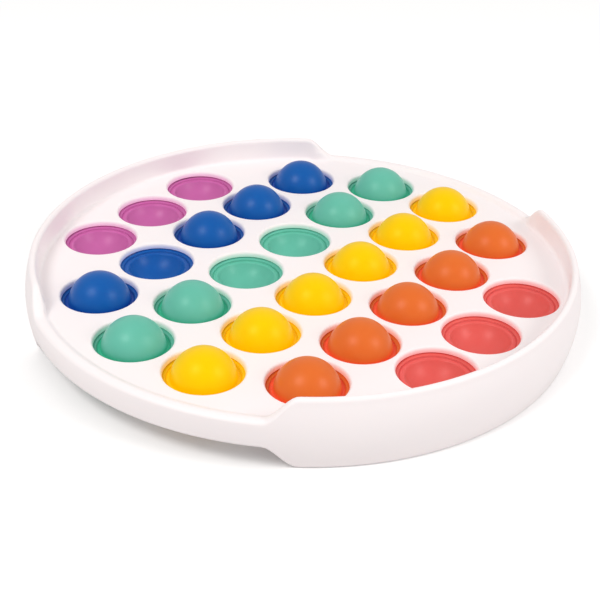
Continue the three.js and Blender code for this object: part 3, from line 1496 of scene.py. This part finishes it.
@dataclass(frozen=True)
class SoftBox:
    """A square studio light that faces the board.

    Attributes:
        name: Its name.
        azimuth: Degrees round the board, as the camera's azimuth is counted.
        elevation: Degrees above the table.
        side: Side of the square, in metres.
        power: Watts.
        distance: Metres from the board.
        colour: Its colour, as light values.
    """

    name: str
    azimuth: float
    elevation: float
    side: float
    power: float
    distance: float = 1.2
    colour: Colour = (1.0, 0.985, 0.97)

    def build(self, target: Vector) -> bpy.types.Object:
        """Makes the light.

        Args:
            target: The point that it faces.

        Returns:
            The light.
        """
        data = bpy.data.lights.new(self.name, "AREA")
        data.shape = "SQUARE"
        data.size = self.side
        data.energy = self.power
        data.color = self.colour
        light = bpy.data.objects.new(self.name, data)
        bpy.context.scene.collection.objects.link(light)
        back = direction(self.azimuth, self.elevation)
        light.location = target + back * self.distance
        light.rotation_euler = back.to_track_quat("Z", "Y").to_euler()
        return light


def direction(azimuth: float, elevation: float) -> Vector:
    """The way from the board to a point round it. Azimuth 0 is on the -Y side and grows towards +X.

    Args:
        azimuth: Degrees round the board.
        elevation: Degrees above the table.

    Returns:
        A unit vector.
    """
    a, e = math.radians(azimuth), math.radians(elevation)
    return Vector((math.sin(a) * math.cos(e), -math.cos(a) * math.cos(e), math.sin(e)))


@dataclass(frozen=True)
class Studio:
    """The floor, the lights and the camera.

    Attributes:
        azimuth: The camera's degrees round the board.
        elevation: Its degrees above the table.
        roll: Degrees that it is rolled by.
        distance: Millimetres from the point that it looks at.
        aim: That point across the board, in millimetres.
        lens: Focal length in millimetres on a sensor of sensor millimetres.
        sensor: The sensor's side.
        surround: Strength of the white surroundings.
        floor_tone: The floor's pale grey, as the camera sees it.
        floor_glow: Light that the floor gives of itself to the camera, which keeps it pale.
        floor_bounce: Share of light that the floor throws back at the board.
    """

    azimuth: float = 35.25
    elevation: float = 30.43
    roll: float = 1.45
    distance: float = 435.9
    aim: tuple[float, float] = (13.29, -20.64)
    lens: float = 75.06
    sensor: float = 36.0
    surround: float = 0.625
    floor_tone: float = 0.93
    floor_glow: float = 0.14
    floor_bounce: float = 0.77

    def build(self, sizes: BoardSizes) -> None:
        """Makes the studio round the board.

        Args:
            sizes: The board's sizes.
        """
        deck = sizes.middle + sizes.deck_outer
        centre = Vector((0.0, 0.0, sizes.middle * MM))
        self._camera(Vector((*self.aim, deck)) * MM)
        self._floor()
        self._surroundings()
        left = SoftBox("left_softbox", self.azimuth - 46.7, elevation=54.3, side=0.42, power=5.4)
        right = SoftBox("right_softbox", self.azimuth + 70.5, elevation=35.5, side=0.46, power=4.2)
        left.build(centre)
        right.build(centre)
        bpy.context.scene.view_settings.view_transform = "Standard"

    def _camera(self, target: Vector) -> None:
        """Makes the camera and makes it the scene's.

        Args:
            target: The point that it looks at.
        """
        data = bpy.data.cameras.new("camera")
        data.lens, data.sensor_width = self.lens, self.sensor
        data.sensor_fit = "HORIZONTAL"
        data.clip_start, data.clip_end = 0.01, 50.0
        camera = bpy.data.objects.new("camera", data)
        bpy.context.scene.collection.objects.link(camera)
        back = direction(self.azimuth, self.elevation)
        right = Vector((0.0, 0.0, 1.0)).cross(back).normalized()
        up = back.cross(right)
        turn = Matrix((right, up, back)).transposed()
        rolled = turn @ Matrix.Rotation(math.radians(self.roll), 3, "Z")
        camera.matrix_world = Matrix.Translation(target + back * self.distance * MM) @ rolled.to_4x4()
        bpy.context.scene.camera = camera

    def _floor(self) -> None:
        """Makes the plain pale floor."""
        reach = 6.0
        mesh = bpy.data.meshes.new("floor")
        corners = [(-reach, -reach, 0.0), (reach, -reach, 0.0), (reach, reach, 0.0), (-reach, reach, 0.0)]
        mesh.from_pydata(corners, [], [(0, 1, 2, 3)])
        floor = bpy.data.objects.new("floor", mesh)
        bpy.context.scene.collection.objects.link(floor)
        material, sheet = start_material("pale_floor")
        seen = sheet.add("ShaderNodeLightPath").outputs["Is Camera Ray"]
        bounce, pale = ((share, share, share, 1.0) for share in (self.floor_bounce, self.floor_tone))
        sheet.shade({
            "Base Color": sheet.mix(seen, bounce, pale),
            "Roughness": 0.9,
            "Specular IOR Level": 0.0,
            "Emission Color": (1.0, 1.0, 1.0, 1.0),
            "Emission Strength": sheet.maths("MULTIPLY", seen, self.floor_glow),
        })
        mesh.materials.append(material)

    def _surroundings(self) -> None:
        """Makes the plain white surroundings."""
        world = bpy.data.worlds.new("surroundings")
        world.use_nodes = True
        background = world.node_tree.nodes["Background"]
        background.inputs["Color"].default_value = (1.0, 0.995, 0.99, 1.0)
        background.inputs["Strength"].default_value = self.surround
        bpy.context.scene.world = world


def main() -> None:
    """Builds the board and the studio, and reports each piece."""
    logging.basicConfig(level=logging.INFO, format="%(name)s: %(message)s")
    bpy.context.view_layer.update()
    sizes = BoardSizes.from_frame()
    places = read_places(sizes)
    Studio().build(sizes)
    for piece in Board(sizes, places, Paintbox()).build():
        LOG.info("%s: %d faces", piece.name, len(piece.data.polygons))


if __name__ == "__main__":
    main()
